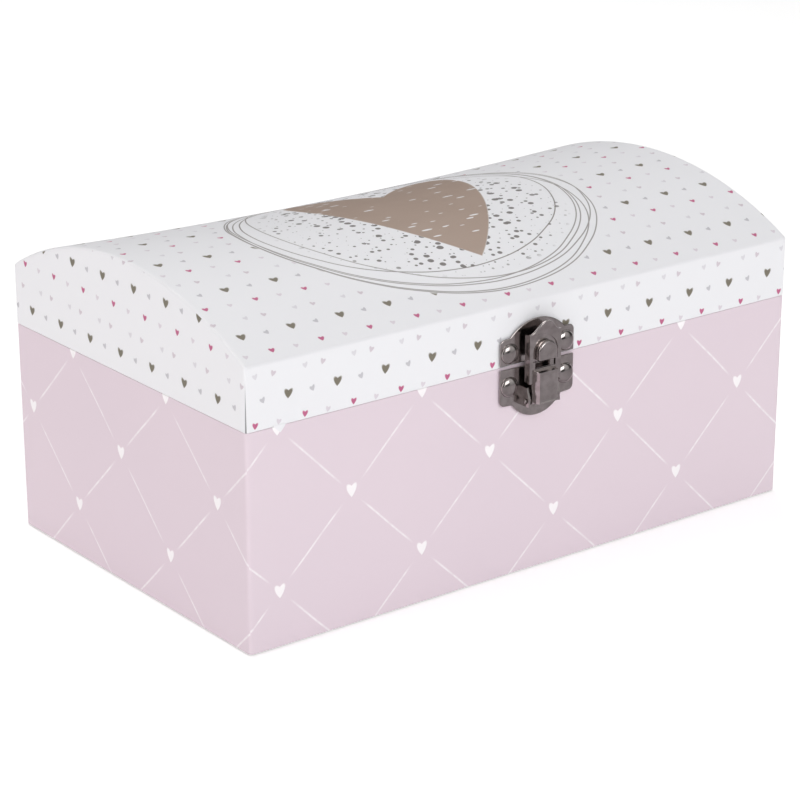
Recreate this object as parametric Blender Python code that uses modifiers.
"""A wind-up music box: a paper-covered chest with a domed lid, a sprung hasp, and a clockwork movement.

Frame: +X along the front, +Y to the back, +Z up. The origin is the centre of the underside.
The lid hinges at the back. The movement stands against the back wall at the right, under its own cover,
and drives a dancer. Pieces that touch keep the small gap CLEAR.
"""

import math

import bmesh
import bpy
from mathutils import Matrix, Vector

MM = 0.001
CLEAR = 0.3 * MM  # the gap left between two touching pieces

# Box
LENGTH = 190 * MM
DEPTH = 114 * MM
SEAM_Z = 61 * MM  # where the lid meets the base
SKIRT_TOP_Z = 78.5 * MM  # where the lid's straight skirt ends and its dome begins
DOME_RISE = 15 * MM
PAPER = 0.4 * MM
BOARD = 2.5 * MM
DOME_BOARD = 2 * MM
INSERT_BOARD = 2 * MM
LID_CLOSED_GAP = 0.15 * MM  # half the gap between base rim and lid rim
DOME_SEGMENTS = 24

HALF_X = LENGTH / 2
HALF_Y = DEPTH / 2
BOARD_X = HALF_X - PAPER - CLEAR  # outer faces of the boards
BOARD_Y = HALF_Y - PAPER - CLEAR
INNER_X = BOARD_X - BOARD  # inner faces of the boards
INNER_Y = BOARD_Y - BOARD
RIM_Z = SEAM_Z - LID_CLOSED_GAP
LID_RIM_Z = SEAM_Z + LID_CLOSED_GAP
FLOOR_Z = BOARD + CLEAR
DOME_RADIUS = (HALF_Y**2 + DOME_RISE**2) / (2 * DOME_RISE)
DOME_CENTRE_Z = SKIRT_TOP_Z + DOME_RISE - DOME_RADIUS

# Inside the box
COVER_X = 20 * MM  # left face of the movement's cover
COVER_Y = 19 * MM  # its front face
COVER_TOP_Z = 38 * MM
CUSHION_BACK_Y = -20 * MM
CUSHION_TOP_Z = 22 * MM
LINER_Z = 74 * MM  # underside of the flat board that closes the lid
LINER_THICK = 1.2 * MM
MIRROR = (124 * MM, 72 * MM, 1.8 * MM)

# Hinges: two butt hinges on the back face
HINGE_XS = {"left": -60 * MM, "right": 60 * MM}
HINGE_WIDTH = 20 * MM
HINGE_LEAF = 0.8 * MM
HINGE_REACH = 13 * MM  # from the pin to a leaf's far edge
HINGE_AXIS = (HALF_Y + 2 * MM, SEAM_Z)
KNUCKLE_RADIUS = 1.5 * MM
HINGE_PIN_RADIUS = 0.7 * MM
HINGE_NAIL_X = 6.5 * MM
HINGE_NAIL_Z = 8.5 * MM

# Hasp on the front
PLATE_WIDTH = 26 * MM
PLATE_THICK = 0.6 * MM
PLATE_EDGE = 0.5 * MM  # from the seam to a plate's straight edge
PLATE_SIDE = {"lid": 8 * MM, "base": 11 * MM}  # from the seam to the end of a plate's straight side
PLATE_REACH = {"lid": 12.2 * MM, "base": 15.6 * MM}  # from the seam to the end of its round end
PLATE_ROUND = {"lid": 13.3 * MM, "base": 10.6 * MM}
LATCH_NAIL_X = 9.8 * MM
LATCH_NAIL_Z = {"lid": 64.8 * MM, "base": 55.4 * MM}
LATCH_NAIL_RADIUS = 2.4 * MM
PLATE_Y = -HALF_Y - CLEAR  # back face of both plates
PLATE_FRONT_Y = PLATE_Y - PLATE_THICK
LATCH_AXIS = (-HALF_Y - 2.9 * MM, 51 * MM)
FLAP_HALF = 5.6 * MM
FLAP_FOOT_HALF = 4.5 * MM  # half width of the flap between the ears
FLAP_FOOT_Z = 56 * MM
FLAP_METAL = 0.7 * MM
FLAP_BACK_Y = -HALF_Y - 3.5 * MM
FLAP_TOP_Z = 70 * MM
FLAP_SLOT_Z = (60 * MM, 62.3 * MM)
FLANGE_DEPTH = 1.2 * MM
HUMP_RADIUS = 3.4 * MM
EAR_X = (4.9 * MM, 5.6 * MM)

# Movement: the spring barrel's axis runs along Y, the cylinder's along X
BARREL_X = 38 * MM
BARREL_Z = 16 * MM
BARREL_RADIUS = 12.5 * MM
BARREL_BACK_Y = 48.6 * MM
BARREL_FRONT_Y = 38 * MM
BEDPLATE_Y = (49 * MM, 50.6 * MM)
BEDPLATE_FEET_Y = INNER_Y - CLEAR
BEDPLATE_SCREWS = ((27.5 * MM, 31 * MM), (88 * MM, 8 * MM))
ARBOR_RADIUS = 2 * MM
RATCHET_TEETH = 12
RATCHET_RADII = (5 * MM, 6 * MM)
RATCHET_Y = (51 * MM, 52.6 * MM)
CLICK_ANGLE = math.radians(118.5)  # just past a tooth's steep face
CLICK_REACH = 9 * MM

CROWN_TEETH = 48
CROWN_RADII = (10 * MM, 12 * MM)
CROWN_RADIUS = sum(CROWN_RADII) / 2
CROWN_Y = (37.7 * MM, 36.9 * MM)  # the ring's back face, and the foot of its teeth
CROWN_TOOTH = 1.1 * MM
CROWN_TAPER = 0.5  # share of its width that a tooth loses at its tip
CROWN_MODULE = 2 * CROWN_RADIUS / CROWN_TEETH
CROWN_PITCH_Y = CROWN_Y[1] - CROWN_TOOTH / 2
CYLINDER_PINION_TEETH = 12
DANCER_PINION_TEETH = 16
SLIM_TOOTH = (0.21, 0.1)  # the crown's pinions have slimmer teeth, because its own widen outwards
CYLINDER_Y = CROWN_PITCH_Y - CROWN_MODULE * CYLINDER_PINION_TEETH / 2
DANCER_Y = CROWN_PITCH_Y - CROWN_MODULE * DANCER_PINION_TEETH / 2

CYLINDER_X = (53 * MM, 73 * MM)
CYLINDER_RADIUS = 6 * MM
CYLINDER_PIN = 0.7 * MM
CYLINDER_SEGMENTS = 20
NOTES = 18
TRAIN_MODULE = 0.4 * MM
CYLINDER_GEAR_TEETH = 40
GOVERNOR_PINION_TEETH = 10
WORM_WHEEL_TEETH = 24
WORM_STARTS = 2
WORM_RADIUS = 1.6 * MM
WORM_LENGTH = 4.4 * MM
WORM_LEAD = math.pi * TRAIN_MODULE * WORM_STARTS
GOVERNOR_Z = BARREL_Z + TRAIN_MODULE * (CYLINDER_GEAR_TEETH + GOVERNOR_PINION_TEETH) / 2
WORM_WHEEL_X = (80 * MM, 81.2 * MM)
FLY_X = sum(WORM_WHEEL_X) / 2
FLY_Y = CYLINDER_Y - TRAIN_MODULE * WORM_WHEEL_TEETH / 2 - WORM_RADIUS
FLY_RADIUS = 3 * MM
BRAKE_DISC_Z = (20.3 * MM, 21 * MM)

COMB_TIP_Z = BARREL_Z + CYLINDER_RADIUS + CYLINDER_PIN + CLEAR
COMB_X = (53.5 * MM, 72.5 * MM)
COMB_BASE_Z = (31 * MM, 35 * MM)
COMB_THICK = 0.8 * MM

STOP_ROD_AT = (88 * MM, 50 * MM)
STOP_ROD_RADIUS = 0.6 * MM

KEY_LOBE_RADIUS = 6 * MM
KEY_LOBE_X = 6.2 * MM
KEY_LOBE_Y = 70 * MM
KEY_THICK = 1.8 * MM

# Colours, roughness and metallic value of each finish
FINISHES = {
    "greyboard": ((0.55, 0.53, 0.50), 0.9, 0.0),
    "pink_print": ((0.86, 0.72, 0.76), 0.55, 0.0),
    "white_print": ((0.92, 0.92, 0.93), 0.5, 0.0),
    "lining_paper": ((0.93, 0.86, 0.89), 0.85, 0.0),
    "velvet": ((0.80, 0.45, 0.55), 0.95, 0.0),
    "mirror_glass": ((0.95, 0.96, 0.97), 0.02, 1.0),
    "nickel": ((0.62, 0.60, 0.59), 0.25, 1.0),
    "cast_zinc": ((0.60, 0.60, 0.62), 0.45, 1.0),
    "brass": ((0.83, 0.66, 0.33), 0.3, 1.0),
    "spring_steel": ((0.45, 0.46, 0.48), 0.3, 1.0),
    "moulded_plastic": ((0.90, 0.88, 0.84), 0.4, 0.0),
    "doll_plastic": ((0.93, 0.76, 0.68), 0.45, 0.0),
    "tulle": ((0.95, 0.70, 0.78), 0.8, 0.0),
}


def clear_scene():
    """Removes the startup objects."""
    for found in list(bpy.data.objects):
        bpy.data.objects.remove(found)


def new_collection(name):
    made = bpy.data.collections.new(name)
    bpy.context.scene.collection.children.link(made)
    return made


def finish(name):
    """The named finish as a Principled material."""
    found = bpy.data.materials.get(name)
    if found:
        return found
    colour, roughness, metallic = FINISHES[name]
    made = bpy.data.materials.new(name)
    made.use_nodes = True
    shader = made.node_tree.nodes["Principled BSDF"]
    shader.inputs["Base Color"].default_value = (*colour, 1)
    shader.inputs["Roughness"].default_value = roughness
    shader.inputs["Metallic"].default_value = metallic
    return made


def place(obj, name, material):
    """Names an object, gives it its finish, and keeps it in the parts collection."""
    obj.name = name
    for owner in list(obj.users_collection):
        owner.objects.unlink(obj)
    PARTS.objects.link(obj)
    obj.data.materials.clear()
    obj.data.materials.append(finish(material))
    return obj


def as_cutter(obj):
    """Makes an object a helper, which is neither drawn nor built."""
    for owner in list(obj.users_collection):
        owner.objects.unlink(obj)
    CUTTERS.objects.link(obj)
    obj.hide_render = True
    obj.display_type = "WIRE"
    return obj


def box(name, low, high, material="greyboard", bevel=0):
    """A box between two corners."""
    low, high = Vector(low), Vector(high)
    bpy.ops.mesh.primitive_cube_add(size=1, location=(low + high) / 2)
    made = bpy.context.object
    made.data.transform(Matrix.Diagonal((*(high - low), 1)))
    if bevel:
        rounding = made.modifiers.new("rounding", "BEVEL")
        rounding.width = bevel
        rounding.segments = 2
    return place(made, name, material)


AXIS_TURN = {"X": (0, math.pi / 2, 0), "Y": (math.pi / 2, 0, 0), "Z": (0, 0, 0)}


def rod(name, centre, radius, length, axis, material="nickel", sides=16):
    """A round bar about its centre."""
    bpy.ops.mesh.primitive_cylinder_add(
        vertices=sides, radius=radius, depth=length, location=centre, rotation=AXIS_TURN[axis]
    )
    return smooth(place(bpy.context.object, name, material))


def smooth(obj, angle=0.6):
    obj.data.shade_smooth()
    obj.data.set_sharp_from_angle(angle=angle)
    return obj


def turned(name, profile, origin, axis, material, segments=24):
    """Turns a profile of (radius, height) about an axis through the origin given.

    Height runs along +X for axis X, along -Y (to the front) for axis Y, and along +Z for axis Z.
    The profile's outer side runs from its top to its bottom. One that starts on the axis is left open there.
    """
    mesh = bpy.data.meshes.new(name)
    edges = [(i, i + 1) for i in range(len(profile) - 1)]
    if profile[0][0] > 0:
        edges.append((len(profile) - 1, 0))
    mesh.from_pydata([(radius, 0, height) for radius, height in profile], edges, [])
    made = bpy.data.objects.new(name, mesh)
    PARTS.objects.link(made)
    made.location = origin
    made.rotation_euler = AXIS_TURN[axis]
    screw = made.modifiers.new("turning", "SCREW")
    screw.steps = screw.render_steps = segments
    screw.use_merge_vertices = True
    screw.merge_threshold = 0.00001
    screw.use_smooth_shade = True
    return place(made, name, material)


def turned_solid(name, steps, origin, axis, material, segments=24):
    """A solid turned bar. Steps are (radius, height), from the top down; both ends close on the axis."""
    return baked(turned(name, [(0, steps[0][1]), *steps, (0, steps[-1][1])], origin, axis, material, segments))


def plate(name, outline, thickness, matrix, material="nickel"):
    """A flat outline of (x, y) points, extruded about its own plane and put in place by a matrix.

    The curve is drawn in millimetres, because filling a curve needs distances well above its rounding.
    """
    curve = bpy.data.curves.new(name, "CURVE")
    curve.dimensions = "2D"
    curve.fill_mode = "BOTH"
    curve.extrude = thickness / 2 / MM
    spline = curve.splines.new("POLY")
    spline.points.add(len(outline) - 1)
    for point, (x, y) in zip(spline.points, outline):
        point.co = (x / MM, y / MM, 0, 1)
    spline.use_cyclic_u = True
    made = bpy.data.objects.new(name, curve)
    bpy.context.scene.collection.objects.link(made)
    made = to_mesh(made, weld=0.001)
    made.data.transform(Matrix.Scale(MM, 4))
    made.matrix_world = matrix
    return place(made, name, material)


def wire(name, points, radius, material, round_sides=2):
    """A round wire along a polyline."""
    curve = bpy.data.curves.new(name, "CURVE")
    curve.dimensions = "3D"
    curve.bevel_depth = radius
    curve.bevel_resolution = round_sides
    curve.use_fill_caps = True
    spline = curve.splines.new("POLY")
    spline.points.add(len(points) - 1)
    for point, co in zip(spline.points, points):
        point.co = (*co, 1)
    made = bpy.data.objects.new(name, curve)
    bpy.context.scene.collection.objects.link(made)
    return place(to_mesh(made), name, material)


def to_mesh(obj, weld=0.001 * MM):
    """Replaces a curve by its welded mesh."""
    bpy.context.view_layer.update()
    graph = bpy.context.evaluated_depsgraph_get()
    mesh = bpy.data.meshes.new_from_object(obj.evaluated_get(graph))
    work = bmesh.new()
    work.from_mesh(mesh)
    bmesh.ops.remove_doubles(work, verts=work.verts, dist=weld)
    bmesh.ops.recalc_face_normals(work, faces=work.faces)
    work.to_mesh(mesh)
    work.free()
    made = bpy.data.objects.new(obj.name, mesh)
    made.matrix_world = obj.matrix_world
    bpy.context.scene.collection.objects.link(made)
    bpy.data.objects.remove(obj)
    return made


def baked(obj):
    """Applies an object's modifiers and welds what they left loose."""
    name, material = obj.name, obj.data.materials[0].name
    return place(to_mesh(obj), name, material)


def combine(obj, other, operation):
    """Cuts an object by another, or joins them, with a Boolean."""
    change = obj.modifiers.new(operation.lower(), "BOOLEAN")
    change.operation = operation
    change.object = as_cutter(other)
    return obj


def cut(obj, *others):
    for other in others:
        combine(obj, other, "DIFFERENCE")
    return obj


def join(obj, *others):
    for other in others:
        combine(obj, other, "UNION")
    return obj


def drill(centre, radius, length, axis, *objs):
    """Drills one round hole through several pieces."""
    for obj in objs:
        cut(obj, rod("drill", centre, radius, length, axis, sides=12))


def along(axis, origin):
    """The matrix that stands a flat outline in its plane, facing along an axis.

    X: outline x runs along -Z and outline y along +Y. Y: outline y runs along +Z, facing the front.
    """
    turn = Matrix.Rotation(AXIS_TURN[axis][0], 4, "X") @ Matrix.Rotation(AXIS_TURN[axis][1], 4, "Y")
    return Matrix.Translation(origin) @ turn


def arc(centre, radius, start, end, steps):
    """Points of an arc, with its angles in degrees."""
    points = []
    for i in range(steps + 1):
        angle = math.radians(start + (end - start) * i / steps)
        points.append((centre[0] + radius * math.cos(angle), centre[1] + radius * math.sin(angle)))
    return points


def dome_outline(half_depth, radius, bottom_z):
    """The lid's section: straight sides under an arc about the dome's centre, as (y, z) points."""
    reach = math.degrees(math.asin(half_depth / radius))
    top = arc((0, DOME_CENTRE_Z), radius, 90 - reach, 90 + reach, DOME_SEGMENTS)
    return [*top, (-half_depth, bottom_z), (half_depth, bottom_z)]


# A plate whose outline x is world Y and outline y is world Z, extruded along X
SECTION = Matrix(((0, 0, 1, 0), (1, 0, 0, 0), (0, 1, 0, 0), (0, 0, 0, 1)))


def section_plate(name, outline, x_low, x_high, material):
    matrix = Matrix.Translation(((x_low + x_high) / 2, 0, 0)) @ SECTION
    return plate(name, outline, x_high - x_low, matrix, material)


def skin(obj, thickness):
    """Opens a closed mesh at its bottom and gives what is left a wall on its inside."""
    work = bmesh.new()
    work.from_mesh(obj.data)
    down = obj.matrix_world.to_3x3().inverted() @ Vector((0, 0, -1))
    open_side = [face for face in work.faces if face.normal.dot(down) > 0.99]
    bmesh.ops.delete(work, geom=open_side, context="FACES")
    work.to_mesh(obj.data)
    work.free()
    wall = obj.modifiers.new("wall", "SOLIDIFY")
    wall.thickness = thickness
    wall.offset = -1
    wall.use_even_offset = True
    return obj


def gear_outline(teeth, module, phase, tooth):
    """A gear's outline: trapezoid teeth with a wide running gap.

    The tooth is its half width at the root and at the tip, each as a share of the pitch.
    """
    pitch_radius = module * teeth / 2
    root, top = pitch_radius - 1.35 * module, pitch_radius + module
    root_half, tip_half = tooth
    step = 2 * math.pi / teeth
    outline = []
    for i in range(teeth):
        middle = i * step + phase
        for radius, share in ((root, -root_half), (top, -tip_half), (top, tip_half), (root, root_half)):
            angle = middle + share * step
            outline.append((radius * math.cos(angle), radius * math.sin(angle)))
    return outline


def gear(name, teeth, module, width, matrix, phase=0.0, tooth=(0.26, 0.15)):
    return plate(name, gear_outline(teeth, module, phase, tooth), width, matrix, "brass")


def nail(name, x, z, face_y, out, head_radius=LATCH_NAIL_RADIUS):
    """A dome-headed nail, driven along Y. Out is -1 for a head on the front and +1 for one on the back."""
    height = head_radius * 0.55
    shank, bite = 0.5 * MM, 2.6 * MM
    dome = [(head_radius * math.sin(a), height * math.cos(a)) for a in (0.5, 1.05)]
    steps = [*dome, (head_radius, 0), (shank, 0), (shank, -bite)]
    made = turned_solid(name, steps, (0, 0, 0), "Y", "nickel", segments=12)
    made.location = (x, face_y + out * CLEAR, z)
    if out > 0:
        made.rotation_euler = (-math.pi / 2, 0, 0)
    return smooth(made)


def base_box():
    """The base: a bottom board, four wall boards and the printed paper around them."""
    box("base_bottom_board", (-BOARD_X, -BOARD_Y, 0), (BOARD_X, BOARD_Y, BOARD))
    front = box("base_front_board", (-BOARD_X, -BOARD_Y, FLOOR_Z), (BOARD_X, -INNER_Y, RIM_Z))
    back = box("base_back_board", (-BOARD_X, INNER_Y, FLOOR_Z), (BOARD_X, BOARD_Y, RIM_Z))
    side_y = INNER_Y - CLEAR
    box("base_left_board", (-BOARD_X, -side_y, FLOOR_Z), (-INNER_X, side_y, RIM_Z))
    box("base_right_board", (INNER_X, -side_y, FLOOR_Z), (BOARD_X, side_y, RIM_Z))
    wrap = box("base_wrap", (-HALF_X, -HALF_Y, CLEAR), (HALF_X, HALF_Y, RIM_Z), "pink_print")
    skin(wrap, PAPER)
    cut(wrap, box("rim_cutter", (-1, -1, RIM_Z - 1.5 * PAPER), (1, 1, 1)))
    return front, back, wrap


def lid_box():
    """The domed lid: end, front, back and dome boards, their printed paper, a liner board and a mirror."""
    board_radius = DOME_RADIUS - PAPER - CLEAR
    ends = dome_outline(BOARD_Y, board_radius, LID_RIM_Z)
    section_plate("lid_left_end_board", ends, -BOARD_X, -INNER_X, "greyboard")
    section_plate("lid_right_end_board", ends, INNER_X, BOARD_X, "greyboard")
    inner_radius = board_radius - DOME_BOARD
    outer = dome_outline(BOARD_Y, board_radius, 0)[:-2]
    inner = dome_outline(BOARD_Y, inner_radius, 0)[:-2]
    between = INNER_X - CLEAR
    section_plate("lid_dome_board", [*outer, *reversed(inner)], -between, between, "greyboard")
    wall_top = DOME_CENTRE_Z + math.sqrt(inner_radius**2 - BOARD_Y**2) - CLEAR
    front = box("lid_front_board", (-between, -BOARD_Y, LID_RIM_Z), (between, -INNER_Y, wall_top))
    back = box("lid_back_board", (-between, INNER_Y, LID_RIM_Z), (between, BOARD_Y, wall_top))
    outline = dome_outline(HALF_Y, DOME_RADIUS, LID_RIM_Z)
    wrap = skin(section_plate("lid_wrap", outline, -HALF_X, HALF_X, "white_print"), PAPER)
    reach_x, reach_y = INNER_X - 2 * CLEAR, INNER_Y - CLEAR
    liner_top = LINER_Z + LINER_THICK
    box("lid_liner_board", (-reach_x, -reach_y, LINER_Z), (reach_x, reach_y, liner_top), "lining_paper")
    width, depth, thick = MIRROR
    top = LINER_Z - CLEAR
    box("lid_mirror", (-width / 2, -depth / 2, top - thick), (width / 2, depth / 2, top), "mirror_glass")
    return front, back, wrap


def inserts():
    """The divider, the ring cushion and the cover that hides the movement."""
    left, right = COVER_X, INNER_X - CLEAR
    back = INNER_Y - CLEAR
    cover = box("movement_cover", (left, COVER_Y, FLOOR_Z), (right, back, COVER_TOP_Z), "lining_paper")
    hollow = box(
        "hollow",
        (left + INSERT_BOARD, COVER_Y + INSERT_BOARD, 0),
        (right + INSERT_BOARD, back + INSERT_BOARD, COVER_TOP_Z - INSERT_BOARD),
    )
    cut(cover, hollow)
    drill((BARREL_X, DANCER_Y, COVER_TOP_Z), 1.8 * MM, 8 * MM, "Z", cover)
    drill((*STOP_ROD_AT, COVER_TOP_Z), 1.2 * MM, 8 * MM, "Z", cover)
    low = (left, -INNER_Y + CLEAR, FLOOR_Z)
    box("compartment_divider", low, (left + INSERT_BOARD, COVER_Y - CLEAR, COVER_TOP_Z), "lining_paper")
    low = (left + INSERT_BOARD + 2 * CLEAR, -INNER_Y + 2 * CLEAR, FLOOR_Z + CLEAR)
    high = (right - CLEAR, CUSHION_BACK_Y, CUSHION_TOP_Z)
    box("ring_cushion", low, high, "velvet", bevel=2 * MM)


def hinge_leaf(name, x, side, knuckles):
    """One leaf of a butt hinge with its knuckles. Side is +1 for the lid and -1 for the base."""
    axis_y, axis_z = HINGE_AXIS
    face = HALF_Y + CLEAR
    clear = KNUCKLE_RADIUS + 0.4 * MM
    near, far = sorted((axis_z + side * clear, axis_z + side * HINGE_REACH))
    half = HINGE_WIDTH / 2
    leaf = box(name, (x - half, face, near), (x + half, face + HINGE_LEAF, far), "nickel")
    for low, high in knuckles:
        middle, width = x + (low + high) / 2, high - low
        join(leaf, rod("knuckle", (middle, axis_y, axis_z), KNUCKLE_RADIUS, width, "X"))
        web_near, web_far = sorted((axis_z, axis_z + side * (clear + 0.5 * MM)))
        web_low = (x + low, face + 0.1 * MM, web_near)
        join(leaf, box("web", web_low, (x + high, face + HINGE_LEAF, web_far)))
    drill((x, axis_y, axis_z), HINGE_PIN_RADIUS + CLEAR, 2 * HINGE_WIDTH, "X", leaf)
    return leaf


def hinges(base_pieces, lid_pieces):
    """Two butt hinges with their pins and nails. The pieces given are drilled for the nails."""
    half = HINGE_WIDTH / 2
    for side_name, x in HINGE_XS.items():
        outer = ((-half, -half * 0.38), (half * 0.38, half))
        middle = ((-half * 0.35, half * 0.35),)
        base_leaf = hinge_leaf(f"hinge_{side_name}_base_leaf", x, -1, outer)
        lid_leaf = hinge_leaf(f"hinge_{side_name}_lid_leaf", x, 1, middle)
        pin_at = (x, *HINGE_AXIS)
        rod(f"hinge_{side_name}_pin", pin_at, HINGE_PIN_RADIUS, HINGE_WIDTH + 1 * MM, "X", sides=12)
        leaves = (("base", base_leaf, base_pieces, -1), ("lid", lid_leaf, lid_pieces, 1))
        for body, leaf, pieces, side in leaves:
            z = SEAM_Z + side * HINGE_NAIL_Z
            for number, nail_x in enumerate((x - HINGE_NAIL_X, x + HINGE_NAIL_X), 1):
                drill((nail_x, HALF_Y, z), 0.8 * MM, 8 * MM, "Y", leaf, *pieces)
                face = HALF_Y + CLEAR + HINGE_LEAF
                nail(f"hinge_{side_name}_{body}_nail_{number}", nail_x, z, face, 1, 1.5 * MM)


def latch_outline(body):
    """A hasp plate's outline as (x, z): a straight edge at the seam, short sides, notches and a round end."""
    side = 1 if body == "lid" else -1
    half, corner = PLATE_WIDTH / 2, 1.4 * MM
    shoulder, radius = PLATE_SIDE[body], PLATE_ROUND[body]
    centre_z = PLATE_REACH[body] - radius
    bend = math.degrees(math.asin((shoulder - centre_z) / radius))
    right = [(half, PLATE_EDGE), *arc((half - corner, shoulder - corner), corner, 0, 90, 3)]
    top = arc((0, centre_z), radius, bend + 1, 179 - bend, 12)
    outline = [*right, *top, *[(-x, z) for x, z in reversed(right)]]
    return [(x, SEAM_Z + side * z) for x, z in outline]


def latch(base_pieces, lid_pieces):
    """The sprung hasp: a plate on the lid with its catch, a plate on the base with ears, a pin and the flap."""
    middle = PLATE_Y - PLATE_THICK / 2
    lid_plate = plate("latch_lid_plate", latch_outline("lid"), PLATE_THICK, along("Y", (0, middle, 0)))
    base_plate = plate("latch_base_plate", latch_outline("base"), PLATE_THICK, along("Y", (0, middle, 0)))
    inside_y = PLATE_FRONT_Y + PLATE_THICK / 2
    catch_low = (-2.4 * MM, FLAP_BACK_Y + CLEAR, SEAM_Z + 0.6 * MM)
    join(lid_plate, box("catch", catch_low, (2.4 * MM, inside_y, FLAP_SLOT_Z[1] - CLEAR / 2)))
    axis_y, axis_z = LATCH_AXIS
    for side in (-1, 1):
        low_x, high_x = sorted(side * edge for edge in EAR_X)
        ear_low = (low_x, axis_y - 1.2 * MM, axis_z - 1.6 * MM)
        join(base_plate, box("ear", ear_low, (high_x, inside_y, axis_z + 3.8 * MM)))
    drill((0, axis_y, axis_z), 0.9 * MM, 20 * MM, "X", base_plate)
    rod("latch_pin", (0, axis_y, axis_z), 0.6 * MM, 2 * EAR_X[1] + 1.2 * MM, "X", sides=12)
    latch_flap(axis_y, axis_z)
    for body, pieces, metal in (("lid", lid_pieces, lid_plate), ("base", base_pieces, base_plate)):
        for side_name, side in (("left", -1), ("right", 1)):
            x, z = side * LATCH_NAIL_X, LATCH_NAIL_Z[body]
            drill((x, -HALF_Y, z), 0.8 * MM, 8 * MM, "Y", metal, *pieces)
            nail(f"latch_{body}_nail_{side_name}", x, z, PLATE_FRONT_Y, -1)


def latch_flap(axis_y, axis_z):
    """The flap: a flanged channel with a slot, a D-shaped hump, a raised block and a flared finger tab."""
    front_y = FLAP_BACK_Y - FLAP_METAL
    face_low = (-FLAP_HALF, front_y, FLAP_FOOT_Z)
    flap = box("latch_flap", face_low, (FLAP_HALF, FLAP_BACK_Y, FLAP_TOP_Z), "nickel")
    for side in (-1, 1):
        low_x, high_x = sorted((side * (FLAP_HALF - FLAP_METAL), side * FLAP_HALF))
        low = (low_x, front_y + 0.1 * MM, FLAP_FOOT_Z + 0.2 * MM)
        join(flap, box("flange", low, (high_x, FLAP_BACK_Y + FLANGE_DEPTH, FLAP_TOP_Z - 0.4 * MM)))
    foot_low = (-FLAP_FOOT_HALF, front_y + 0.05 * MM, axis_z)
    foot_high = (FLAP_FOOT_HALF, FLAP_BACK_Y - 0.05 * MM, FLAP_FOOT_Z + 0.5 * MM)
    join(flap, box("foot", foot_low, foot_high))
    knuckle_length = 2 * (FLAP_FOOT_HALF - 0.1 * MM)
    join(flap, rod("knuckle", (0, axis_y, axis_z), 1.3 * MM, knuckle_length, "X", sides=20))
    tab_half = FLAP_HALF - 0.3 * MM
    tab = [(-tab_half, 0), (tab_half, 0), *arc((0, 0.6 * MM), 3.8 * MM, 8, 172, 10)]
    tab_lean = Matrix.Rotation(math.radians(14), 4, "X")
    tab_place = Matrix.Translation((0, FLAP_BACK_Y - FLAP_METAL / 2, FLAP_TOP_Z - 0.5 * MM))
    join(flap, plate("tab", tab, FLAP_METAL, tab_place @ tab_lean @ along("Y", (0, 0, 0))))
    slot_low, slot_high = FLAP_SLOT_Z
    hump_depth, sunk = 1.5 * MM, 0.1 * MM
    straight = 2 * MM
    hump = [(-HUMP_RADIUS, 0), (HUMP_RADIUS, 0), *arc((0, straight), HUMP_RADIUS, 0, 180, 10)]
    hump_at = along("Y", (0, front_y - (hump_depth - sunk) / 2, slot_high))
    join(flap, plate("hump", hump, hump_depth + sunk, hump_at))
    block_low = (-3.9 * MM, front_y - 1.8 * MM, axis_z - 0.9 * MM)
    join(flap, box("block", block_low, (3.9 * MM, front_y + sunk, slot_low - 0.6 * MM), bevel=0.7 * MM))
    slot_start = (-3 * MM, front_y - 1 * MM, slot_low)
    cut(flap, box("slot", slot_start, (3 * MM, FLAP_BACK_Y + 1 * MM, slot_high)))
    drill((0, axis_y, axis_z), 0.9 * MM, 20 * MM, "X", flap)


def bedplate():
    """The cast bedplate with its feet, bearing brackets, comb heel and the dancer's bearing arm."""
    low_y, high_y = BEDPLATE_Y
    deep = high_y - low_y
    plate_box = box("bedplate", (24 * MM, low_y, 4 * MM), (86 * MM, high_y, 35 * MM), "cast_zinc")
    join(plate_box, box("lug", (85 * MM, low_y, 4 * MM), (91 * MM, high_y, 12 * MM)))
    for x, z in (*BEDPLATE_SCREWS, (27.5 * MM, 7 * MM), (66 * MM, 31 * MM)):
        foot_length = BEDPLATE_FEET_Y - low_y - deep / 2
        foot_at = (x, BEDPLATE_FEET_Y - foot_length / 2, z)
        join(plate_box, rod("foot", foot_at, 2.4 * MM, foot_length, "Y", sides=12))
    front = CYLINDER_Y - 2.6 * MM
    root = low_y + deep / 2
    for low, high in (
        ((51.2 * MM, front, 12.5 * MM), (52.4 * MM, root, 19.5 * MM)),
        ((75.6 * MM, front, 12.5 * MM), (76.8 * MM, root, GOVERNOR_Z + 3.4 * MM)),
        ((COMB_X[0], CYLINDER_Y + COMB_THICK / 2 + CLEAR, COMB_BASE_Z[0]), (COMB_X[1], root, COMB_BASE_Z[1])),
        ((BARREL_X - 3 * MM, DANCER_Y - 3 * MM, 30 * MM), (BARREL_X + 3 * MM, root, 31.6 * MM)),
    ):
        join(plate_box, box("casting", low, high))
    middle_x = (CYLINDER_X[0] + CYLINDER_X[1]) / 2
    drill((middle_x, CYLINDER_Y, BARREL_Z), 1.3 * MM, 60 * MM, "X", plate_box)
    drill((76 * MM, CYLINDER_Y, GOVERNOR_Z), 1.1 * MM, 4 * MM, "X", plate_box)
    drill((BARREL_X, DANCER_Y, 31 * MM), 1.3 * MM, 4 * MM, "Z", plate_box)
    drill((BARREL_X, low_y, BARREL_Z), ARBOR_RADIUS + CLEAR, 8 * MM, "Y", plate_box)
    post_x, post_z = click_pivot()
    join(plate_box, rod("click_post", (post_x, high_y + 0.8 * MM, post_z), 0.9 * MM, 2.4 * MM, "Y", sides=12))
    return plate_box


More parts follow.
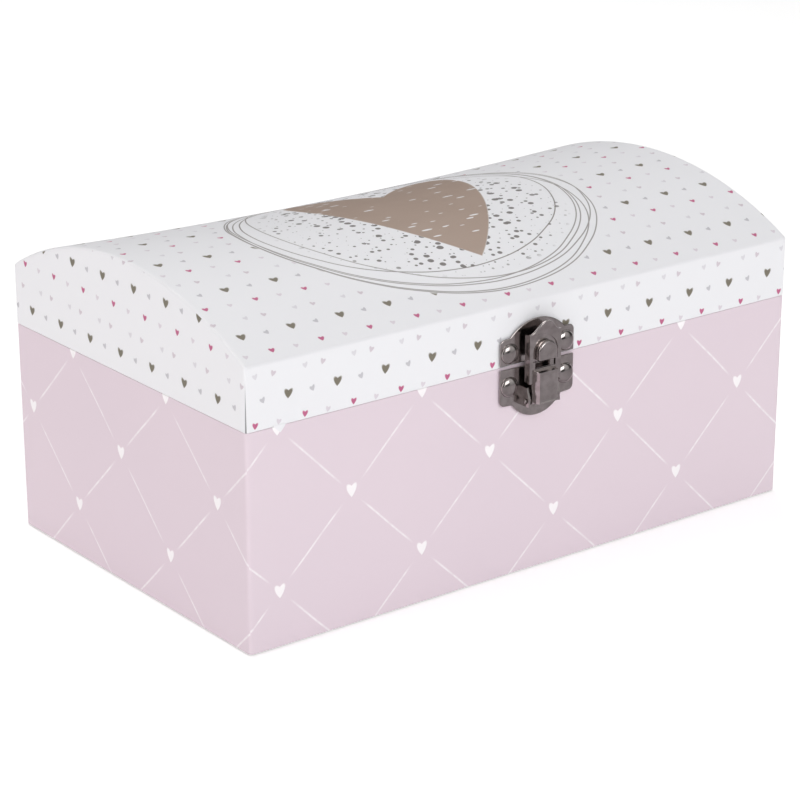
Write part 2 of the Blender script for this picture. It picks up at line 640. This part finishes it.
def slot_head_screw(name, at, axis, head_radius, head_height, shank_radius, length, material="nickel"):
    """A round-headed screw with a driver slot. Its head stands above the point given, along the axis."""
    steps = [
        (head_radius * 0.8, head_height),
        (head_radius, head_height * 0.6),
        (head_radius, 0),
        (shank_radius, 0),
        (shank_radius, -length),
    ]
    screw = turned_solid(name, steps, at, axis, material, segments=12)
    slot_half = Vector((head_radius * 1.2, head_height, head_radius * 0.16))
    top = Vector(at) - Vector((0, head_height * 1.45, 0))
    return cut(screw, box("driver_slot", top - slot_half, top + slot_half))


def movement_screws(plate_box, back_board):
    """The screws that hold the bedplate to the back board, and the comb to its heel."""
    for side_name, (x, z) in zip(("left", "right"), BEDPLATE_SCREWS):
        drill((x, 52 * MM, z), 1.1 * MM, 8 * MM, "Y", plate_box, back_board)
        at = (x, BEDPLATE_Y[0] - CLEAR, z)
        slot_head_screw(f"bedplate_screw_{side_name}", at, "Y", 2 * MM, 1.2 * MM, 0.8 * MM, 6 * MM)


def comb(plate_box):
    """The steel comb: one tooth a note, longer for the low notes, on a base screwed to the heel."""
    low_x, high_x = COMB_X
    pitch = (high_x - low_x) / NOTES
    tooth = 0.62 * pitch
    outline = [(low_x, COMB_BASE_Z[1]), (low_x, COMB_BASE_Z[0])]
    for note in range(NOTES):
        x = low_x + (note + 0.5) * pitch
        root = COMB_BASE_Z[0] - 0.12 * MM * note
        for corner_x, z in ((-1, root), (-1, COMB_TIP_Z), (1, COMB_TIP_Z), (1, root)):
            outline.append((x + corner_x * tooth / 2, z))
    outline += [(high_x, COMB_BASE_Z[0] - 0.12 * MM * NOTES), (high_x, COMB_BASE_Z[1])]
    made = plate("comb", outline, COMB_THICK, along("Y", (0, CYLINDER_Y, 0)), "spring_steel")
    middle_x, screw_z = (low_x + high_x) / 2, (COMB_BASE_Z[0] + COMB_BASE_Z[1]) / 2
    drill((middle_x, CYLINDER_Y, screw_z), 1.0 * MM, 16 * MM, "Y", made, plate_box)
    at = (middle_x, CYLINDER_Y - COMB_THICK / 2 - CLEAR, screw_z)
    slot_head_screw("comb_screw", at, "Y", 1.7 * MM, 1 * MM, 0.7 * MM, 5 * MM)


def click_frame():
    """The outward direction at the click's tip, and the direction from its tip to its pivot."""
    outward = Vector((math.cos(CLICK_ANGLE), math.sin(CLICK_ANGLE)))
    return outward, Vector((math.sin(CLICK_ANGLE), -math.cos(CLICK_ANGLE)))


def click_pivot():
    """Where the click turns: beyond its tip, along the ratchet's tangent."""
    outward, back = click_frame()
    return tuple(Vector((BARREL_X, BARREL_Z)) + RATCHET_RADII[1] * outward + CLICK_REACH * back)


def winder():
    """What the key turns: the arbor with its ratchet teeth, the key, and the click that holds them."""
    back = 62 * MM
    hub = 3.2 * MM
    ends = [36.6, 39.6, 39.6, 48.0, 48.0]
    radii = [ARBOR_RADIUS, ARBOR_RADIUS, hub, hub, ARBOR_RADIUS]
    steps = [(radius, -y * MM) for radius, y in zip(radii, ends)]
    profile = [*steps, (ARBOR_RADIUS, -back)]
    arbor = turned_solid("winding_arbor", profile, (BARREL_X, 0, BARREL_Z), "Y", "nickel")
    root, tip = RATCHET_RADII
    step = 360 / RATCHET_TEETH
    outline = []
    for i in range(RATCHET_TEETH):
        for share, radius in ((0.0, root), (0.5, (root + tip) / 2), (0.98, tip)):
            angle = math.radians(180 - (i + share) * step)
            outline.append((radius * math.cos(angle), radius * math.sin(angle)))
    low_y, high_y = RATCHET_Y
    ratchet_at = along("Y", (BARREL_X, (low_y + high_y) / 2, BARREL_Z))
    join(arbor, plate("ratchet", outline, high_y - low_y, ratchet_at))
    key()
    click()


def key():
    """The butterfly key: a socket on the arbor's end and two round lobes with a hole in each."""
    collar_y = (58.4 * MM, 66 * MM)
    steps = [(3.4 * MM, -collar_y[0]), (3.4 * MM, -62 * MM), (2.8 * MM, -collar_y[1])]
    made = turned_solid("winding_key", steps, (BARREL_X, 0, BARREL_Z), "Y", "nickel")
    for side in (-1, 1):
        at = (BARREL_X + side * KEY_LOBE_X, KEY_LOBE_Y, BARREL_Z)
        join(made, rod("lobe", at, KEY_LOBE_RADIUS, KEY_THICK, "Z", sides=20))
    stem_low = (BARREL_X - 2.6 * MM, 62 * MM, BARREL_Z - KEY_THICK * 0.7)
    join(made, box("stem", stem_low, (BARREL_X + 2.6 * MM, 71 * MM, BARREL_Z + KEY_THICK * 0.7)))
    for side in (-1, 1):
        at = (BARREL_X + side * (KEY_LOBE_X + 0.8 * MM), KEY_LOBE_Y, BARREL_Z)
        cut(made, rod("lobe_hole", at, 2.4 * MM, 10 * MM, "Z", sides=12))
    socket_end = 62.4 * MM
    cut(made, rod("socket", (BARREL_X, socket_end - 5 * MM, BARREL_Z), ARBOR_RADIUS + CLEAR, 10 * MM, "Y"))


def click():
    """The click: a bar from its pivot ring to the ratchet, drawn lifted just clear of the teeth."""
    outward, back = click_frame()
    inner = outward * (RATCHET_RADII[1] + CLEAR)
    outer = inner + outward * 0.9 * MM
    reach = back * (CLICK_REACH - 1 * MM)
    outline = [tuple(inner), tuple(outer), tuple(outer + reach), tuple(inner + reach)]
    low_y, high_y = RATCHET_Y
    middle = (low_y + high_y) / 2
    matrix = along("Y", (BARREL_X, middle, BARREL_Z))
    bar = plate("click", outline, high_y - low_y - 0.2 * MM, matrix, "spring_steel")
    x, z = click_pivot()
    join(bar, rod("ring", (x, middle, z), 1.9 * MM, high_y - low_y - 0.2 * MM, "Y"))
    drill((x, middle, z), 1.2 * MM, 6 * MM, "Y", bar)


def barrel():
    """The spring barrel, the mainspring in it and the crown wheel on its front."""
    deep = BARREL_BACK_Y - BARREL_FRONT_Y
    wall, bore = 1 * MM, ARBOR_RADIUS + 1.4 * CLEAR
    profile = [
        (BARREL_RADIUS, deep),
        (BARREL_RADIUS, 0),
        (BARREL_RADIUS - wall, 0),
        (BARREL_RADIUS - wall, deep - 1.2 * MM),
        (bore, deep - 1.2 * MM),
        (bore, deep),
    ]
    at = (BARREL_X, BARREL_BACK_Y, BARREL_Z)
    smooth(baked(turned("spring_barrel", profile, at, "Y", "brass", segments=40)))
    turns, steps = 5, 20
    inner, outer, thick = 3.9 * MM, 10.9 * MM, 0.4 * MM
    spiral = []
    for i in range(turns * steps + 1):
        share = i / (turns * steps)
        spiral.append((inner + (outer - inner) * share, 2 * math.pi * turns * share))
    out = [(radius * math.cos(a), radius * math.sin(a)) for radius, a in spiral]
    outer = [(radius + thick, a) for radius, a in reversed(spiral)]
    home = [(radius * math.cos(a), radius * math.sin(a)) for radius, a in outer]
    matrix = along("Y", (BARREL_X, 43.9 * MM, BARREL_Z))
    plate("mainspring", [*out, *home], 7.4 * MM, matrix, "spring_steel")
    crown_wheel()


def crown_wheel():
    """A ring whose teeth stand forward: every second sector of its front face, raised and narrowed."""
    foot = CROWN_Y[0] - CROWN_Y[1]
    inner, outer = CROWN_RADII
    profile = [(outer, foot), (outer, 0), (inner, 0), (inner, foot)]
    at = (BARREL_X, CROWN_Y[0], BARREL_Z)
    ring = baked(turned("crown_wheel", profile, at, "Y", "brass", segments=2 * CROWN_TEETH))
    work = bmesh.new()
    work.from_mesh(ring.data)
    sector = math.pi / CROWN_TEETH
    # A gap is centred on angle 0, so sectors are turned by half a sector.
    bmesh.ops.rotate(work, verts=work.verts, matrix=Matrix.Rotation(sector / 2, 3, "Z"))
    chosen = []
    for face in work.faces:
        middle = face.calc_center_median()
        index = round(math.atan2(middle.y, middle.x) / sector)
        if face.normal.z > 0.9 and index % 2:
            chosen.append(face)
    made = bmesh.ops.extrude_discrete_faces(work, faces=chosen)
    for face in made["faces"]:
        bmesh.ops.translate(work, verts=face.verts, vec=(0, 0, CROWN_TOOTH))
        middle = face.calc_center_median()
        across = Vector((-middle.y, middle.x, 0)).normalized()
        for vert in face.verts:
            offset = (vert.co - middle).dot(across)
            vert.co -= across * offset * CROWN_TAPER
    work.to_mesh(ring.data)
    work.free()


def cylinder():
    """The pinned cylinder, and the arbor through it with the crown's pinion and the train's first gear."""
    low_x, high_x = CYLINDER_X
    length = high_x - low_x
    margin = COMB_X[0] - low_x
    pitch = (COMB_X[1] - COMB_X[0]) / NOTES
    heights = [length, *[margin + pitch * i for i in range(NOTES, -1, -1)], 0]
    bore = 1 * MM + CLEAR
    profile = [(CYLINDER_RADIUS, height) for height in heights] + [(bore, 0), (bore, length)]
    made = turned("cylinder", profile, (low_x, CYLINDER_Y, BARREL_Z), "X", "brass", CYLINDER_SEGMENTS)
    made = baked(made)
    raise_pins(made, margin, pitch)
    axis_z = BARREL_Z
    pinion_x = (47.7 * MM, 50.3 * MM)
    gear_x = (73.4 * MM, 74.8 * MM)
    arbor = rod_between("cylinder_arbor", (pinion_x[0], CYLINDER_Y, axis_z), 78.4 * MM, 1 * MM)
    pinion_at = along("X", (sum(pinion_x) / 2, CYLINDER_Y, axis_z))
    width = pinion_x[1] - pinion_x[0]
    join(arbor, gear("pinion", CYLINDER_PINION_TEETH, CROWN_MODULE, width, pinion_at, tooth=SLIM_TOOTH))
    gear_at = along("X", (sum(gear_x) / 2, CYLINDER_Y, axis_z))
    join(arbor, gear("gear", CYLINDER_GEAR_TEETH, TRAIN_MODULE, gear_x[1] - gear_x[0], gear_at))


def raise_pins(obj, margin, pitch):
    """Raises two pins on each note's track of the cylinder."""
    work = bmesh.new()
    work.from_mesh(obj.data)
    step = 2 * math.pi / CYLINDER_SEGMENTS
    chosen = []
    for face in work.faces:
        middle = face.calc_center_median()
        if Vector(middle.xy).length < CYLINDER_RADIUS * 0.9 or abs(face.normal.z) > 0.5:
            continue
        track = (middle.z - margin) / pitch
        if not 0 < track < NOTES:
            continue
        segment = int((math.atan2(middle.y, middle.x) % (2 * math.pi)) / step)
        first = int(track) * 7
        if segment in {(first + shift) % CYLINDER_SEGMENTS for shift in (0, 9)}:
            chosen.append(face)
    bmesh.ops.inset_individual(work, faces=chosen, thickness=0.33 * MM)
    raised = bmesh.ops.extrude_discrete_faces(work, faces=chosen)["faces"]
    for face in raised:
        bmesh.ops.translate(work, verts=face.verts, vec=face.normal * CYLINDER_PIN)
    work.to_mesh(obj.data)
    work.free()


def rod_between(name, start, end_x, radius, material="spring_steel"):
    """A round bar along X from a start point."""
    length = end_x - start[0]
    return rod(name, (start[0] + length / 2, start[1], start[2]), radius, length, "X", material)


def governor():
    """The governor's wheel, its fly on a worm, and the frame that carries them."""
    wheel = rod_between("governor_wheel", (72.8 * MM, CYLINDER_Y, GOVERNOR_Z), 85.4 * MM, 0.8 * MM, "brass")
    pinion_at = along("X", (74.1 * MM, CYLINDER_Y, GOVERNOR_Z))
    half_step = math.pi / GOVERNOR_PINION_TEETH
    join(wheel, gear("pinion", GOVERNOR_PINION_TEETH, TRAIN_MODULE, 1.8 * MM, pinion_at, phase=half_step))
    wheel_at = along("X", (FLY_X, CYLINDER_Y, GOVERNOR_Z))
    width = WORM_WHEEL_X[1] - WORM_WHEEL_X[0]
    join(wheel, gear("worm_wheel", WORM_WHEEL_TEETH, TRAIN_MODULE, width, wheel_at))
    fly()
    side_x, back_y, root_y = (83.6 * MM, 84.8 * MM), 47.2 * MM, BEDPLATE_Y[0] - CLEAR
    low_z, high_z = 7 * MM, 33.8 * MM
    arm, left_x, front_y = 1.4 * MM, 77.4 * MM, FLY_Y - 2.4 * MM
    frame_low = (side_x[0], CYLINDER_Y - 2.1 * MM, low_z)
    frame = box("governor_frame", frame_low, (side_x[1], root_y, high_z), "moulded_plastic")
    for low, high in (
        ((left_x, front_y, high_z - arm), (side_x[1], root_y, high_z)),
        ((left_x, front_y, low_z), (side_x[1], root_y, low_z + arm)),
        ((left_x, back_y, low_z), (side_x[1], root_y, high_z)),
    ):
        join(frame, box("arm", low, high))
    drill((FLY_X, FLY_Y, (low_z + high_z) / 2), 0.9 * MM, 40 * MM, "Z", frame)
    drill((side_x[0], CYLINDER_Y, GOVERNOR_Z), 1.1 * MM, 4 * MM, "X", frame)


def fly():
    """The fly: a two-start worm, a brake disc and two vanes on one shaft."""
    made = worm_thread()
    shaft_z = (7.4 * MM, 33.4 * MM)
    middle = sum(shaft_z) / 2
    join(made, rod("shaft", (FLY_X, FLY_Y, middle), 0.6 * MM, shaft_z[1] - shaft_z[0], "Z", sides=12))
    disc_z = sum(BRAKE_DISC_Z) / 2
    disc_height = BRAKE_DISC_Z[1] - BRAKE_DISC_Z[0]
    join(made, rod("brake_disc", (FLY_X, FLY_Y, disc_z), FLY_RADIUS, disc_height, "Z", sides=24))
    low = (FLY_X - FLY_RADIUS, FLY_Y - 0.3 * MM, 10 * MM)
    join(made, box("vanes", low, (FLY_X + FLY_RADIUS, FLY_Y + 0.3 * MM, 19 * MM)))


def worm_thread():
    """The worm: a two-lobed section, lofted up its axis while it turns once for each lead."""
    root, top = WORM_RADIUS - 0.5 * MM, WORM_RADIUS + 0.4 * MM
    flank = ((0.34, root), (0.2, root), (0.1, top))  # half of one thread, as (share of its pitch, radius)
    thread = [(-0.5, root)] + [(-share, radius) for share, radius in flank]
    thread += [(share, radius) for share, radius in reversed(flank)]
    section = []
    for start in range(WORM_STARTS):
        middle = start * 2 * math.pi / WORM_STARTS
        width = 2 * math.pi / WORM_STARTS
        for share, radius in thread:
            section.append((radius, middle + share * width))
    turns = WORM_LENGTH / WORM_LEAD
    levels = round(turns * 12)
    mesh = bpy.data.meshes.new("fly_worm")
    work = bmesh.new()
    rings = []
    for level in range(levels + 1):
        z = -WORM_LENGTH / 2 + WORM_LENGTH * level / levels
        turn = 2 * math.pi * z / WORM_LEAD
        points = [(r * math.cos(a + turn), r * math.sin(a + turn), z) for r, a in section]
        rings.append([work.verts.new(point) for point in points])
    count = len(section)
    for low_ring, high_ring in zip(rings, rings[1:]):
        for i in range(count):
            j = (i + 1) % count
            work.faces.new((low_ring[i], low_ring[j], high_ring[j], high_ring[i]))
    work.faces.new(reversed(rings[0]))
    work.faces.new(rings[-1])
    work.to_mesh(mesh)
    work.free()
    made = bpy.data.objects.new("fly", mesh)
    bpy.context.scene.collection.objects.link(made)
    made.location = (FLY_X, FLY_Y, GOVERNOR_Z)
    return place(made, "fly", "brass")


def dancer():
    """The dancer: a spindle with its pinion and spring, the figure, and the net skirt."""
    pinion_z = (BARREL_Z + CROWN_RADII[0] - CLEAR, BARREL_Z + CROWN_RADII[1] + CLEAR)
    top_z = 42 * MM
    middle = (pinion_z[0] + top_z) / 2
    length = top_z - pinion_z[0]
    spindle = rod("dancer_spindle", (BARREL_X, DANCER_Y, middle), 1 * MM, length, "Z", "spring_steel")
    at = Matrix.Translation((BARREL_X, DANCER_Y, sum(pinion_z) / 2)) @ Matrix.Rotation(math.pi / 2, 4, "Z")
    width = pinion_z[1] - pinion_z[0]
    join(spindle, gear("pinion", DANCER_PINION_TEETH, CROWN_MODULE, width, at, tooth=SLIM_TOOTH))
    for height in (32.4 * MM, COVER_TOP_Z + 0.9 * MM):
        join(spindle, rod("collar", (BARREL_X, DANCER_Y, height), 1.7 * MM, 1 * MM, "Z"))
    # Legs, hips, waist, chest, neck and head, from the crown of the head down to the pointed toes
    body = (
        (0.8, 29.0), (1.7, 28.4), (2.1, 27.2), (1.9, 26.0), (1.1, 25.2), (0.7, 24.6), (0.9, 24.0),
        (2.2, 23.2), (2.3, 21.4), (1.5, 18.6), (1.9, 17.4), (2.3, 16.0), (1.8, 14.0), (1.5, 11.0),
        (1.1, 8.0), (1.3, 6.4), (0.8, 3.4), (0.9, 1.2), (0.6, 0.0),
    )
    steps = [(radius * MM, height * MM) for radius, height in body]
    foot = (BARREL_X, DANCER_Y, top_z + CLEAR)
    figure = turned_solid("dancer_figure", steps, foot, "Z", "doll_plastic", segments=12)
    for side in (-1, 1):
        join(figure, arm_of(side, foot))
    skirt_low = foot[2] + 15.2 * MM
    waist, rim = 2.7 * MM, 7.6 * MM
    profile = [(waist, 1.6 * MM), (rim, 0.7 * MM), (rim, 0), (waist, 0.4 * MM)]
    smooth(baked(turned("dancer_skirt", profile, (BARREL_X, DANCER_Y, skirt_low), "Z", "tulle", segments=20)))


def arm_of(side, foot):
    """One raised arm, curved over the head."""
    points = [(2.0, 22.6), (3.3, 23.4), (3.9, 25.0), (3.4, 26.8), (2.2, 28.2), (0.9, 28.6)]
    path = [(foot[0] + side * x * MM, foot[1], foot[2] + z * MM) for x, z in points]
    return wire("arm", path, 0.6 * MM, "doll_plastic", round_sides=1)


def stop_rod():
    """The wire that stops the music: the lid presses its top, and its foot bears on the fly's brake disc."""
    x, y = STOP_ROD_AT
    foot_z = BRAKE_DISC_Z[1] + CLEAR + STOP_ROD_RADIUS
    tip_x = FLY_X + WORM_RADIUS + 0.4 * MM + CLEAR
    bend = 1.2 * MM
    points = [
        (x, y, LINER_Z - CLEAR),
        (x, y, foot_z + bend),
        (x, y - bend, foot_z),
        (x, FLY_Y + bend, foot_z),
        (x - bend, FLY_Y, foot_z),
        (tip_x, FLY_Y, foot_z),
    ]
    wire("stop_rod", points, STOP_ROD_RADIUS, "spring_steel")


def main():
    base_front, base_back, base_wrap = base_box()
    lid_front, lid_back, lid_wrap = lid_box()
    inserts()
    drill((BARREL_X, HALF_Y, BARREL_Z), ARBOR_RADIUS + 1.2 * MM, 10 * MM, "Y", base_back, base_wrap)
    hinges((base_back, base_wrap), (lid_back, lid_wrap))
    latch((base_front, base_wrap), (lid_front, lid_wrap))
    plate_box = bedplate()
    movement_screws(plate_box, base_back)
    comb(plate_box)
    winder()
    barrel()
    cylinder()
    governor()
    dancer()
    stop_rod()


clear_scene()
PARTS = new_collection("music_box")
CUTTERS = new_collection("cutters")
main()
